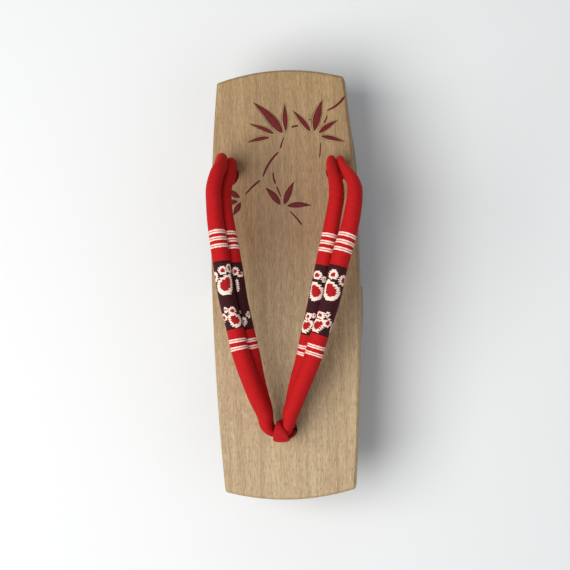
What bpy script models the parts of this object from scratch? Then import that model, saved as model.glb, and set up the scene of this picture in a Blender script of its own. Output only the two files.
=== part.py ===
"""A wooden geta sandal with two teeth, a split padded strap, its front loop and the knots under the board.

Metres, +Z up, the floor at z = 0. The toe points to -Y, the heel to +Y, and +X is the sandal's inner side.
The origin is the middle of the front tooth's floor face.
"""
import math
from collections import namedtuple

import bmesh
import bpy
from mathutils import Matrix, Vector

# Board
LENGTH = 0.240
HEEL_END = 0.131  # from the front tooth's middle back to the heel's end
TOE_END = HEEL_END - LENGTH
WIDTH = 0.0826
HEEL_WIDTH = 0.0712
TOE_WIDTH = 0.0730
WIDEST_Y = 0.018
HEEL_ARC_RISE = 0.0055
TOE_ARC_RISE = 0.0052
END_SKEW = 0.0010  # the ends are cut out of square: the inner corners lie this much farther back
CORNER_RADIUS = 0.0013
TOP_CHAMFER = 0.0010

# Heights and teeth
HEIGHT = 0.048
BOARD_THICKNESS = 0.019
HEEL_THICKNESS = 0.0115
TOE_THICKNESS = 0.0105
FRONT_TOOTH = 0.018  # length of its floor face
FRONT_SLOPE = 0.020  # run of its slanted front
ARCH = 0.0615  # from the front tooth back to the rear tooth
REAR_TOOTH = 0.0160
REAR_SLOPE = 0.0150
REAR_DROP = 0.0020  # how much lower the board's underside is where the rear slope starts
ROOT_RADIUS = 0.004
SLOPE_RADIUS = 0.022
TREAD_RADIUS = 0.003

# Strap holes
FRONT_HOLE_Y = TOE_END + 0.0395
FRONT_HOLE_RADIUS = 0.005
REAR_HOLE_Y = 0.0735
REAR_HOLE_SPACING = 0.060
REAR_HOLE_RADIUS = 0.0055
REAR_HOLE_SLANT = 30.0  # degrees from upright, forward and down

# Strap
OUTER_TUBE = 0.0094  # diameter
INNER_TUBE = 0.0090
STRAP_SPREAD = 0.043
STRAP_RISE = 0.038
FOLD_HEIGHT = 0.0140  # of the outer tube's middle above the board, inside the front loop
FOLD_WIDTH = 0.0052
FOLD_TALL = 0.0080
INNER_FOLD_HEIGHT = 0.0086
INNER_FOLD_TALL = 0.0064
FOLD_LEAN = 0.0026  # to the outer side
OUTER_REACH = 0.0049  # how far the fold runs straight across to the outer side
INNER_REACH = 0.0024
STRAP_END_DEPTH = 0.008

# Front loop and knots
LOOP_WIDTH = 0.0100
LOOP_THICKNESS = 0.0024
LOOP_NECK = 0.0060
LOOP_DEPTH = 0.008
CORD = 0.0044
KNOT_LONG = 0.0176
KNOT_SHORT = 0.0122
GAP = 0.0003

# Shares
END_OVAL = 1.4  # a tube's end in its hole, tall to wide
CORE_LONG_SHARE = 0.86  # the knot's core, of its ring
CORE_SHORT_SHARE = 0.6  # past its ring, of the cord's radius
CORE_TALL_SHARE = 0.82  # of the cord
TAIL_SHARE = 0.8  # the tail's radius, of the cord

# Facets
STRAP_STATIONS = 61
LOOP_STATIONS = 35
TUBE_SIDES = 12
HOLE_SIDES = 24
BOARD_CORNER_STEPS = 3
KNOT_RING_STATIONS = 20
KNOT_CORE_SIDES = 14
KNOT_CORE_ROWS = 8
CORD_SIDES = 8
TAIL_SIDES = 12

Station = namedtuple("Station", "x y z wide tall")

# Where each tube runs from a rear hole to the fold, as shares:
# back of the strap's run, out of its spread, rise of its height, wide and tall of the tube's diameter.
OUTER_SIDE_OUTER_TUBE = (
    (1.024, 0.735, 0.15, 0.58, 0.80),
    (1.046, 0.738, 0.34, 0.64, 0.86),
    (1.042, 0.728, 0.53, 0.72, 0.92),
    (1.019, 0.720, 0.71, 0.78, 0.98),
    (0.985, 0.755, 0.84, 0.82, 1.00),
    (0.930, 0.789, 0.93, 0.87, 1.02),
    (0.862, 0.780, 0.98, 0.91, 1.03),
    (0.799, 0.765, 1.00, 0.94, 1.03),
    (0.695, 0.723, 0.96, 1.01, 1.02),
    (0.523, 0.660, 0.87, 0.99, 1.00),
    (0.402, 0.581, 0.76, 1.00, 1.00),
    (0.318, 0.533, 0.70, 1.02, 1.00),
    (0.157, 0.374, 0.56, 1.00, 1.00),
    (0.066, 0.263, 0.45, 0.88, 0.98),
    (0.028, 0.248, 0.41, 0.76, 0.97),
)
OUTER_SIDE_INNER_TUBE = (
    (1.016, 0.632, 0.15, 0.58, 0.78),
    (1.034, 0.628, 0.30, 0.66, 0.86),
    (1.012, 0.634, 0.44, 0.74, 0.92),
    (0.975, 0.656, 0.56, 0.82, 0.96),
    (0.927, 0.684, 0.68, 0.90, 1.00),
    (0.865, 0.676, 0.78, 0.94, 1.00),
    (0.800, 0.652, 0.81, 0.98, 1.00),
    (0.695, 0.598, 0.80, 1.00, 1.00),
    (0.589, 0.552, 0.74, 1.00, 1.00),
    (0.508, 0.522, 0.68, 0.98, 1.00),
    (0.403, 0.466, 0.58, 1.00, 1.00),
    (0.326, 0.420, 0.51, 1.00, 1.00),
    (0.190, 0.348, 0.38, 0.98, 0.98),
    (0.080, 0.261, 0.29, 0.84, 0.86),
    (0.034, 0.243, 0.24, 0.72, 0.76),
)
INNER_SIDE_INNER_TUBE = (
    (1.018, 0.655, 0.15, 0.58, 0.78),
    (1.030, 0.657, 0.30, 0.62, 0.84),
    (1.010, 0.666, 0.44, 0.68, 0.92),
    (0.977, 0.697, 0.60, 0.76, 0.96),
    (0.930, 0.734, 0.75, 0.90, 1.00),
    (0.883, 0.738, 0.83, 0.94, 1.00),
    (0.845, 0.716, 0.87, 0.94, 1.00),
    (0.780, 0.672, 0.89, 0.95, 1.00),
    (0.614, 0.540, 0.80, 1.00, 1.00),
    (0.472, 0.424, 0.67, 1.00, 1.00),
    (0.374, 0.333, 0.57, 1.00, 1.00),
    (0.302, 0.277, 0.50, 1.00, 1.00),
    (0.197, 0.166, 0.38, 0.98, 0.98),
    (0.153, 0.123, 0.34, 0.96, 0.96),
    (0.107, 0.084, 0.31, 0.90, 0.92),
    (0.072, 0.042, 0.29, 0.82, 0.86),
    (0.038, 0.036, 0.24, 0.66, 0.76),
)
INNER_SIDE_OUTER_TUBE = (
    (1.022, 0.762, 0.15, 0.52, 0.74),
    (1.027, 0.776, 0.34, 0.54, 0.78),
    (1.008, 0.804, 0.50, 0.55, 0.82),
    (0.980, 0.866, 0.66, 0.61, 0.88),
    (0.955, 0.930, 0.79, 0.71, 0.94),
    (0.920, 0.968, 0.88, 0.84, 0.96),
    (0.881, 0.968, 0.95, 0.90, 0.96),
    (0.843, 0.949, 0.98, 0.96, 0.96),
    (0.780, 0.905, 1.00, 1.00, 0.96),
    (0.694, 0.815, 0.98, 1.07, 0.96),
    (0.613, 0.733, 0.93, 1.07, 0.96),
    (0.501, 0.634, 0.84, 1.07, 0.96),
    (0.374, 0.481, 0.74, 1.06, 0.96),
    (0.284, 0.378, 0.66, 1.04, 0.96),
    (0.157, 0.190, 0.55, 1.02, 0.98),
    (0.114, 0.128, 0.50, 0.98, 0.98),
    (0.070, 0.068, 0.46, 0.88, 0.98),
    (0.036, 0.044, 0.42, 0.74, 0.97),
)

# The front loop from behind the strap's fold over it to its front, as shares: forward of the way clear of
# the fold, height of the fold's height, over of the way clear above the fold, lean of the fold's lean,
# wide of the loop's width.
LOOP_OVER_THE_FOLD = (
    (-1.00, 0.30, 0.00, 1.20, 0.46),
    (-1.03, 0.70, 0.00, 1.50, 0.38),
    (-0.98, 1.00, 0.27, 1.50, 0.38),
    (-0.71, 1.00, 0.76, 1.45, 0.42),
    (0.00, 1.00, 1.00, 1.20, 0.70),
    (0.71, 1.00, 0.76, 1.00, 0.88),
    (0.98, 1.00, 0.27, 1.00, 0.92),
    (1.03, 0.70, 0.00, 1.05, 0.88),
    (1.00, 0.30, 0.00, 1.00, 0.72),
)


def remove_old_objects():
    for old in list(bpy.data.objects):
        bpy.data.objects.remove(old, do_unlink=True)


def linear(hex_colour):
    """sRGB hex to the linear values that a shader takes."""
    channels = [int(hex_colour[i : i + 2], 16) / 255.0 for i in (0, 2, 4)]
    return [c / 12.92 if c <= 0.04045 else ((c + 0.055) / 1.055) ** 2.4 for c in channels]


def finish(name, hex_colour, roughness, metallic=0.0):
    material = bpy.data.materials.new(name)
    material.use_nodes = True
    shader = material.node_tree.nodes["Principled BSDF"]
    shader.inputs["Base Color"].default_value = (*linear(hex_colour), 1.0)
    shader.inputs["Roughness"].default_value = roughness
    shader.inputs["Metallic"].default_value = metallic
    return material


def add_object(name, bm, material=None, smooth=False):
    """Turns a bmesh into an object of the scene. One without a material is a cutter or a guide."""
    bmesh.ops.recalc_face_normals(bm, faces=bm.faces)
    mesh = bpy.data.meshes.new(name)
    bm.to_mesh(mesh)
    bm.free()
    if smooth:
        mesh.shade_smooth()
        mesh.set_sharp_from_angle(angle=math.radians(40.0))
    piece = bpy.data.objects.new(name, mesh)
    bpy.context.scene.collection.objects.link(piece)
    if material:
        mesh.materials.append(material)
    else:
        piece.hide_render = True
        piece.display_type = "WIRE"
    return piece


def boolean(piece, other, operation):
    modifier = piece.modifiers.new(f"{operation.lower()} {other.name}", "BOOLEAN")
    modifier.operation = operation
    modifier.solver = "EXACT"
    modifier.object = other


# The wooden sole

def half_width(y):
    """Half of the board's width: two parabolas that meet at its widest place."""
    if y > WIDEST_Y:
        corner_y, end_width = HEEL_END - HEEL_ARC_RISE, HEEL_WIDTH
    else:
        corner_y, end_width = TOE_END + TOE_ARC_RISE, TOE_WIDTH
    share = (y - WIDEST_Y) / (corner_y - WIDEST_Y)
    return (WIDTH + (end_width - WIDTH) * share * share) / 2.0


def end_y(x, corner_y, end_width, rise):
    """The arched end of the board, with its inner corner set back."""
    share = 2.0 * x / end_width
    return corner_y + rise * (1.0 - share * share) + END_SKEW * share / 2.0


def outline(side_steps=12, end_steps=10):
    """The board seen from above, from the inner heel corner forward and round, and which points are corners."""
    heel_corner = HEEL_END - HEEL_ARC_RISE
    toe_corner = TOE_END + TOE_ARC_RISE
    points, corners = [], []
    for side, start, stop in ((1, heel_corner, toe_corner), (-1, toe_corner, heel_corner)):
        corners.append(len(points))
        for i in range(side_steps + 1):
            y = start + (stop - start) * i / side_steps
            skew = side * END_SKEW / 2.0 * (i == 0 or i == side_steps)
            points.append((side * half_width(y), y + skew))
        corners.append(len(points) - 1)
        width = TOE_WIDTH if side > 0 else HEEL_WIDTH
        rise = -TOE_ARC_RISE if side > 0 else HEEL_ARC_RISE
        for i in range(1, end_steps):
            x = side * width * (0.5 - i / end_steps)
            points.append((x, end_y(x, stop, width, rise)))
    return points, corners


def rounded(corners, steps=5):
    """A polyline of (y, z, radius) rows with an arc of that radius at each corner."""
    points = []
    for i, (y, z, radius) in enumerate(corners):
        here = Vector((y, z))
        if radius == 0.0:
            points.append(here)
            continue
        before = Vector(corners[i - 1][:2]) - here
        after = Vector(corners[i + 1][:2]) - here
        half_angle = before.angle(after) / 2.0
        reach = min(radius / math.tan(half_angle), 0.45 * before.length, 0.45 * after.length)
        radius = reach * math.tan(half_angle)
        before.normalize()
        after.normalize()
        centre = here + (before + after).normalized() * radius / math.sin(half_angle)
        first = here + before * reach - centre
        last = here + after * reach - centre
        turn = first.angle(last)
        for step in range(steps + 1):
            share = step / steps
            weights = math.sin((1.0 - share) * turn), math.sin(share * turn)
            points.append(centre + (first * weights[0] + last * weights[1]) / math.sin(turn))
    return points


FRONT_TOOTH_TOE = -FRONT_TOOTH / 2.0
FRONT_TOOTH_HEEL = FRONT_TOOTH / 2.0
REAR_TOOTH_TOE = FRONT_TOOTH_HEEL + ARCH
REAR_TOOTH_HEEL = REAR_TOOTH_TOE + REAR_TOOTH
UNDERSIDE = HEIGHT - BOARD_THICKNESS
FRONT_SLOPE_END = FRONT_TOOTH_TOE - FRONT_SLOPE
TOE_UNDERSIDE = HEIGHT - TOE_THICKNESS


def side_profile():
    """The block seen from its side, from the heel's underside forward and back over the top."""
    above = HEIGHT + BOARD_THICKNESS
    heel_underside = HEIGHT - HEEL_THICKNESS
    beyond_heel = HEEL_END + BOARD_THICKNESS
    beyond_toe = TOE_END - BOARD_THICKNESS
    toe_slope = (TOE_UNDERSIDE - UNDERSIDE) / (FRONT_SLOPE_END - TOE_END)
    return rounded(
        (
            (beyond_heel, heel_underside, 0.0),
            (REAR_TOOTH_HEEL + REAR_SLOPE, heel_underside - REAR_DROP, SLOPE_RADIUS),
            (REAR_TOOTH_HEEL, 0.0, TREAD_RADIUS),
            (REAR_TOOTH_TOE, 0.0, 0.0),
            (REAR_TOOTH_TOE, UNDERSIDE, ROOT_RADIUS),
            (FRONT_TOOTH_HEEL, UNDERSIDE, ROOT_RADIUS),
            (FRONT_TOOTH_HEEL, 0.0, 0.0),
            (FRONT_TOOTH_TOE, 0.0, TREAD_RADIUS),
            (FRONT_SLOPE_END, UNDERSIDE, SLOPE_RADIUS),
            (beyond_toe, TOE_UNDERSIDE + toe_slope * BOARD_THICKNESS, 0.0),
            (beyond_toe, above, 0.0),
            (beyond_heel, above, 0.0),
        )
    )


def upright_prism():
    """The outline pulled up from below the floor to the board's top, corners rounded and top edge chamfered."""
    points, corners = outline()
    bm = bmesh.new()
    base = bm.faces.new([bm.verts.new((x, y, -BOARD_THICKNESS)) for x, y in points])
    lifted = bmesh.ops.extrude_face_region(bm, geom=[base])["geom"]
    top = [v for v in lifted if isinstance(v, bmesh.types.BMVert)]
    bmesh.ops.translate(bm, verts=top, vec=(0.0, 0.0, HEIGHT + BOARD_THICKNESS))
    corner_points = [Vector(points[i]) for i in corners]
    upright = [
        edge
        for edge in bm.edges
        if (edge.verts[0].co.xy - edge.verts[1].co.xy).length < GAP
        and any((edge.verts[0].co.xy - point).length < GAP for point in corner_points)
    ]
    bmesh.ops.bevel(bm, geom=upright, offset=CORNER_RADIUS, segments=BOARD_CORNER_STEPS, affect="EDGES")
    rim = [edge for edge in bm.edges if all(v.co.z > HEIGHT - GAP for v in edge.verts)]
    bmesh.ops.bevel(bm, geom=rim, offset=TOP_CHAMFER, segments=1, affect="EDGES")
    return bm


def swept_sideways(profile):
    """A (y, z) outline carried straight across the board."""
    bm = bmesh.new()
    face = bm.faces.new([bm.verts.new((-WIDTH, y, z)) for y, z in profile])
    lifted = bmesh.ops.extrude_face_region(bm, geom=[face])["geom"]
    far = [v for v in lifted if isinstance(v, bmesh.types.BMVert)]
    bmesh.ops.translate(bm, verts=far, vec=(2.0 * WIDTH, 0.0, 0.0))
    return bm


def rear_hole_axis():
    """Unit vector up and back along a rear hole."""
    slant = math.radians(REAR_HOLE_SLANT)
    return Vector((0.0, math.sin(slant), math.cos(slant)))


def hole_cutter(name, x, y, radius, axis):
    """A round bar through the board, centred on the hole's mouth in the top face."""
    length = 4.0 * BOARD_THICKNESS
    bm = bmesh.new()
    bmesh.ops.create_cone(
        bm, cap_ends=True, segments=HOLE_SIDES, radius1=radius, radius2=radius, depth=length
    )
    turn = Vector((0.0, 0.0, 1.0)).rotation_difference(axis).to_matrix().to_4x4()
    bmesh.ops.transform(bm, matrix=Matrix.Translation((x, y, HEIGHT)) @ turn, verts=bm.verts)
    return add_object(name, bm)


def wooden_sole():
    sole = add_object("wooden_sole", upright_prism(), finish("paulownia wood", "a58862", 0.6))
    boolean(sole, add_object("side_profile", swept_sideways(side_profile())), "INTERSECT")
    upright = Vector((0.0, 0.0, 1.0))
    front = hole_cutter("front_hole", 0.0, FRONT_HOLE_Y, FRONT_HOLE_RADIUS, upright)
    boolean(sole, front, "DIFFERENCE")
    for side, name in ((-1, "rear_hole_left"), (1, "rear_hole_right")):
        x = side * REAR_HOLE_SPACING / 2.0
        cutter = hole_cutter(name, x, REAR_HOLE_Y, REAR_HOLE_RADIUS, rear_hole_axis())
        boolean(sole, cutter, "DIFFERENCE")
    return sole


# Tubes

def smooth_stations(stations, count):
    """Stations spaced evenly along a smooth curve through the given ones (a cubic with chord length tangents)."""
    at = [0.0]
    for a, b in zip(stations, stations[1:]):
        at.append(at[-1] + (Vector(b[:3]) - Vector(a[:3])).length)
    values = [Vector(station) for station in stations]
    slopes = []
    for i in range(len(values)):
        low, high = max(i - 1, 0), min(i + 1, len(values) - 1)
        slopes.append((values[high] - values[low]) / (at[high] - at[low]))
    result = []
    segment = 0
    for step in range(count):
        place = at[-1] * step / (count - 1)
        while segment < len(at) - 2 and place > at[segment + 1]:
            segment += 1
        span = at[segment + 1] - at[segment]
        t = (place - at[segment]) / span
        value = (
            values[segment] * (2 * t**3 - 3 * t**2 + 1)
            + slopes[segment] * span * (t**3 - 2 * t**2 + t)
            + values[segment + 1] * (3 * t**2 - 2 * t**3)
            + slopes[segment + 1] * span * (t**3 - t**2)
        )
        result.append(Station(*value))
    return result


def tangents(stations):
    places = [Vector(station[:3]) for station in stations]
    last = len(places) - 1
    return [(places[min(i + 1, last)] - places[max(i - 1, 0)]).normalized() for i in range(last + 1)]


def frames(stations, middle):
    """A side and an up vector at each station: level at the middle, turned evenly to lie across at both ends."""
    along = tangents(stations)
    side = along[middle].cross(Vector((0.0, 0.0, 1.0))).normalized()
    result = {middle: (side, side.cross(along[middle]))}
    for step, end in ((1, len(stations) - 1), (-1, 0)):
        for i in range(middle + step, end + step, step):
            turn = along[i - step].rotation_difference(along[i])
            side, above = result[i - step]
            result[i] = (turn @ side, turn @ above)
        side, above = result[end]
        across = Vector((math.copysign(1.0, side.x), 0.0, 0.0))
        roll = math.atan2(across.dot(above), across.dot(side))
        for i in range(middle + step, end + step, step):
            side, above = result[i]
            share = (i - middle) / (end - middle)
            cosine, sine = math.cos(roll * share), math.sin(roll * share)
            result[i] = (side * cosine + above * sine, above * cosine - side * sine)
    return result


def tube(stations, middle):
    """A closed tube with an oval section at each station and flat ends."""
    turned = frames(stations, middle)
    bm = bmesh.new()
    rings = []
    for i, station in enumerate(stations):
        side, above = turned[i]
        ring = []
        for k in range(TUBE_SIDES):
            angle = 2.0 * math.pi * (k + 0.5) / TUBE_SIDES
            offset = side * (station.wide / 2.0 * math.cos(angle))
            offset += above * (station.tall / 2.0 * math.sin(angle))
            ring.append(bm.verts.new(Vector(station[:3]) + offset))
        rings.append(ring)
    for ring, following in zip(rings, rings[1:]):
        for k in range(TUBE_SIDES):
            n = (k + 1) % TUBE_SIDES
            bm.faces.new((ring[k], ring[n], following[n], following[k]))
    bm.faces.new(rings[0])
    bm.faces.new(rings[-1])
    bmesh.ops.triangulate(bm, faces=bm.faces)
    return bm


# The strap

def end_size():
    """How wide and tall a tube's end is, so that two fit side by side in a rear hole."""
    wide = REAR_HOLE_RADIUS - 2.0 * GAP
    return wide, END_OVAL * wide


def in_the_hole(side, place):
    """Stations of a tube's end in its rear hole, lowest first. place is 1 for the outer tube, -1 for the inner."""
    wide, tall = end_size()
    x = side * (REAR_HOLE_SPACING / 2.0 + place * (wide / 2.0 - GAP))
    axis = rear_hole_axis()
    mouth = Vector((x, REAR_HOLE_Y, HEIGHT))
    rows = []
    for share in (1.0, 0.5, 0.0):
        spot = mouth - axis * (share * STRAP_END_DEPTH / axis.z)
        rows.append(Station(*spot, wide, tall))
    return rows


def on_the_board(side, rows, diameter):
    """Stations above the board, from a table of shares."""
    run = REAR_HOLE_Y - FRONT_HOLE_Y
    return [
        Station(
            side * out * STRAP_SPREAD,
            FRONT_HOLE_Y + back * run,
            HEIGHT + rise * STRAP_RISE,
            wide * diameter,
            tall * diameter,
        )
        for back, out, rise, wide, tall in rows
    ]


def strap_route(outer_side_rows, inner_side_rows, place, diameter, fold_height, fold_tall):
    """A whole tube: left rear hole, left side, fold, right side, right rear hole."""
    left = in_the_hole(-1, place) + on_the_board(-1, outer_side_rows, diameter)
    right = in_the_hole(1, place) + on_the_board(1, inner_side_rows, diameter)
    fold = [
        Station(across - FOLD_LEAN, FRONT_HOLE_Y, HEIGHT + fold_height, FOLD_WIDTH, fold_tall)
        for across in (-OUTER_REACH, 0.0, INNER_REACH)
    ]
    return left + fold + right[::-1]


def strap_tube(rows):
    stations = smooth_stations(rows, STRAP_STATIONS)
    fold = Vector((-FOLD_LEAN, FRONT_HOLE_Y))
    nearest = min(range(len(stations)), key=lambda i: (Vector(stations[i][:2]) - fold).length)
    return tube(stations, nearest)


def strap():
    outer = strap_route(
        OUTER_SIDE_OUTER_TUBE, INNER_SIDE_OUTER_TUBE, 1, OUTER_TUBE, FOLD_HEIGHT, FOLD_TALL
    )
    inner = strap_route(
        OUTER_SIDE_INNER_TUBE,
        INNER_SIDE_INNER_TUBE,
        -1,
        INNER_TUBE,
        INNER_FOLD_HEIGHT,
        INNER_FOLD_TALL,
    )
    piece = add_object("strap", strap_tube(outer), finish("red strap cloth", "b81c1e", 0.8), True)
    boolean(piece, add_object("inner_tube", strap_tube(inner)), "UNION")
    return piece


# The front loop

def loop_in_the_hole(side):
    """Stations of the loop's end behind (-1) or in front (1) of the hole's middle, highest first."""
    y = FRONT_HOLE_Y - side * (LOOP_THICKNESS / 2.0 + GAP)
    return [
        Station(0.0, y, HEIGHT - share * LOOP_DEPTH, LOOP_NECK, LOOP_THICKNESS)
        for share in (0.0, 0.5, 1.0)
    ]


def front_loop():
    """A flat padded tube up behind the strap's fold, over it and down in front, both ends in the hole."""
    clear = 2.0 * GAP + LOOP_THICKNESS / 2.0
    over_the_fold = [
        Station(
            -lean * FOLD_LEAN,
            FRONT_HOLE_Y - forward * (FOLD_WIDTH / 2.0 + clear),
            HEIGHT + height * FOLD_HEIGHT + over * (FOLD_TALL / 2.0 + clear),
            wide * LOOP_WIDTH,
            LOOP_THICKNESS,
        )
        for forward, height, over, lean, wide in LOOP_OVER_THE_FOLD
    ]
    rows = loop_in_the_hole(-1.0)[::-1] + over_the_fold + loop_in_the_hole(1.0)
    bm = tube(smooth_stations(rows, LOOP_STATIONS), LOOP_STATIONS // 2)
    return add_object("front_loop", bm, finish("red loop cloth", "a81a1c", 0.8), True)


# The knots under the board

def underside_seat(y):
    """Height and slope of the board's underside in front of the front tooth or over the arch."""
    if y > FRONT_TOOTH_HEEL:
        return UNDERSIDE, 0.0
    slope = (UNDERSIDE - TOE_UNDERSIDE) / (FRONT_SLOPE_END - TOE_END)
    return TOE_UNDERSIDE + slope * (y - TOE_END), math.atan(slope)


def knot(name, x, y, axis, top_depth):
    """A ring of cord pressed flat against the underside, its crossing below, and its tail up the hole."""
    seat, slope = underside_seat(y)
    radius = CORD / 2.0
    tilt = Matrix.Translation((x, y, seat)) @ Matrix.Rotation(slope, 4, "X")
    long_radius = KNOT_LONG / 2.0 - radius
    short_radius = KNOT_SHORT / 2.0 - radius
    bm = bmesh.new()
    rings = []
    for i in range(KNOT_RING_STATIONS):
        turn = 2.0 * math.pi * i / KNOT_RING_STATIONS
        ring = []
        for k in range(CORD_SIDES):
            angle = 2.0 * math.pi * (k + 0.5) / CORD_SIDES
            out = radius * math.cos(angle)
            spot = Vector(
                (
                    (long_radius + out) * math.cos(turn),
                    (short_radius + out) * math.sin(turn),
                    radius * math.sin(angle) - radius - GAP,
                )
            )
            ring.append(bm.verts.new(tilt @ spot))
        rings.append(ring)
    for i in range(KNOT_RING_STATIONS):
        ring, following = rings[i], rings[(i + 1) % KNOT_RING_STATIONS]
        for k in range(CORD_SIDES):
            n = (k + 1) % CORD_SIDES
            bm.faces.new((ring[k], following[k], following[n], ring[n]))
    piece = add_object(name, bm, finish("hemp cord " + name, "b9a98a", 0.85), True)

    core = bmesh.new()
    bmesh.ops.create_uvsphere(core, u_segments=KNOT_CORE_SIDES, v_segments=KNOT_CORE_ROWS, radius=1.0)
    size = (
        CORE_LONG_SHARE * long_radius,
        short_radius + CORE_SHORT_SHARE * radius,
        CORE_TALL_SHARE * CORD,
    )
    place = tilt @ Matrix.Translation((0.0, 0.0, -CORD)) @ Matrix.Diagonal((*size, 1.0))
    bmesh.ops.transform(core, matrix=place, verts=core.verts)
    boolean(piece, add_object(name + "_core", core), "UNION")

    top = HEIGHT - top_depth - GAP
    low = seat - CORD
    tail = bmesh.new()
    tail_radius = TAIL_SHARE * CORD
    length = (top - low) / axis.z
    bmesh.ops.create_cone(
        tail,
        cap_ends=True,
        segments=TAIL_SIDES,
        radius1=tail_radius,
        radius2=tail_radius,
        depth=length,
    )
    turn = Vector((0.0, 0.0, 1.0)).rotation_difference(axis).to_matrix().to_4x4()
    middle = Vector((x, y, seat)) + axis * ((top + low) / 2.0 - seat) / axis.z
    bmesh.ops.transform(tail, matrix=Matrix.Translation(middle) @ turn, verts=tail.verts)
    boolean(piece, add_object(name + "_tail", tail), "UNION")
    return piece


def knots():
    knot("front_knot", 0.0, FRONT_HOLE_Y, Vector((0.0, 0.0, 1.0)), LOOP_DEPTH)
    axis = rear_hole_axis()
    exit_y = REAR_HOLE_Y - BOARD_THICKNESS * axis.y / axis.z
    end_lift = end_size()[1] / 2.0 * axis.y
    for side, name in ((-1, "rear_knot_left"), (1, "rear_knot_right")):
        depth = STRAP_END_DEPTH + end_lift + TAIL_SHARE * CORD * axis.y
        knot(name, side * REAR_HOLE_SPACING / 2.0, exit_y, axis, depth)


def build():
    remove_old_objects()
    wooden_sole()
    strap()
    front_loop()
    knots()


build()
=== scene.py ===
"""A ladies' geta: its one-piece wooden sole with a carved and lacquered bamboo spray, the strap of padded
cloth tubes, the front loop and the cord knots. Metres, +Z up, toe to -Y, heel to +Y, the floor at z = 0."""
import math

import bmesh
import bpy
import numpy as np
from mathutils import Matrix, Vector


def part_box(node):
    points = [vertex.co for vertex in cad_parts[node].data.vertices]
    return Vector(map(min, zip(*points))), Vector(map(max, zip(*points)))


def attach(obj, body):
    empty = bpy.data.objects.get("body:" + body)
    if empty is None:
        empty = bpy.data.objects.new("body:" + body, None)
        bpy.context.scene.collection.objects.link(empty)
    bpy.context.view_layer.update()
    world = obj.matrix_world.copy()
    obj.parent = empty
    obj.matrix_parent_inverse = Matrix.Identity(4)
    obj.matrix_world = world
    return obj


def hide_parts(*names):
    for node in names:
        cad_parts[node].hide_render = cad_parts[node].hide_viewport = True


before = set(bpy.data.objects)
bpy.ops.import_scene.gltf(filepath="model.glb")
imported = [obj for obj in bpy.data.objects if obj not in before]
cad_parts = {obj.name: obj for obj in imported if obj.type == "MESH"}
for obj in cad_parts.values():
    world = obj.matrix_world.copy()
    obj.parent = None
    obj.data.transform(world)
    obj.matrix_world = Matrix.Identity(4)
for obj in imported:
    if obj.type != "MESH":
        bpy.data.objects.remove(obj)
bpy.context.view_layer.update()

MM = 0.001

# Board, as in the part
_, sole_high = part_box("wooden_sole")
HEIGHT = sole_high.z
WIDTH = 82.6 * MM
HEEL_WIDTH = 71.2 * MM
TOE_WIDTH = 73.0 * MM
WIDEST_Y = 18.0 * MM
HEEL_END = 131.0 * MM
TOE_END = -109.0 * MM
HEEL_ARC_RISE = 5.5 * MM
TOE_ARC_RISE = 5.2 * MM
HEEL_CORNER = HEEL_END - HEEL_ARC_RISE
TOE_CORNER = TOE_END + TOE_ARC_RISE
END_SKEW = 1.0 * MM
CORNER_RADIUS = 1.3 * MM
TOP_CHAMFER = 1.0 * MM
WORN_EDGE = 0.4 * MM

# Heights and teeth
BOARD_THICKNESS = 19.0 * MM
HEEL_THICKNESS = 11.5 * MM
TOE_THICKNESS = 10.5 * MM
FRONT_TOOTH = 18.0 * MM
FRONT_SLOPE = 20.0 * MM
ARCH = 61.5 * MM
REAR_TOOTH = 16.0 * MM
REAR_SLOPE = 15.0 * MM
REAR_DROP = 2.0 * MM
ROOT_RADIUS = 4.0 * MM
SLOPE_RADIUS = 22.0 * MM
TREAD_RADIUS = 3.0 * MM

# Strap holes
FRONT_HOLE_Y = -69.5 * MM
FRONT_HOLE_RADIUS = 5.0 * MM
REAR_HOLE_Y = 73.5 * MM
REAR_HOLE_SPACING = 60.0 * MM
REAR_HOLE_RADIUS = 5.5 * MM
REAR_HOLE_SLANT = math.radians(30.0)

# Strap
OUTER_TUBE = 9.4 * MM
INNER_TUBE = 9.0 * MM
STRAP_SPREAD = 43.0 * MM
STRAP_RISE = 38.0 * MM
FOLD_HEIGHT = 14.0 * MM
FOLD_WIDTH = 5.2 * MM
FOLD_TALL = 8.0 * MM
INNER_FOLD_HEIGHT = 8.6 * MM
INNER_FOLD_TALL = 6.4 * MM
FOLD_LEAN = 2.6 * MM
OUTER_REACH = 4.9 * MM
INNER_REACH = 2.4 * MM
STRAP_END_DEPTH = 8.0 * MM
GAP = 0.3 * MM
END_WIDTH = REAR_HOLE_RADIUS - 2.0 * GAP
END_TALL = 1.4 * END_WIDTH

# Front loop and knots
LOOP_WIDTH = 10.0 * MM
LOOP_THICKNESS = 2.4 * MM
LOOP_NECK = 6.0 * MM
LOOP_MOUTH = 8.6 * MM  # soft cloth spreads to this where the neck leaves the hole
LOOP_DEPTH = 8.0 * MM
CORD = 4.4 * MM
KNOT_LONG = 17.6 * MM
KNOT_SHORT = 12.2 * MM

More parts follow.
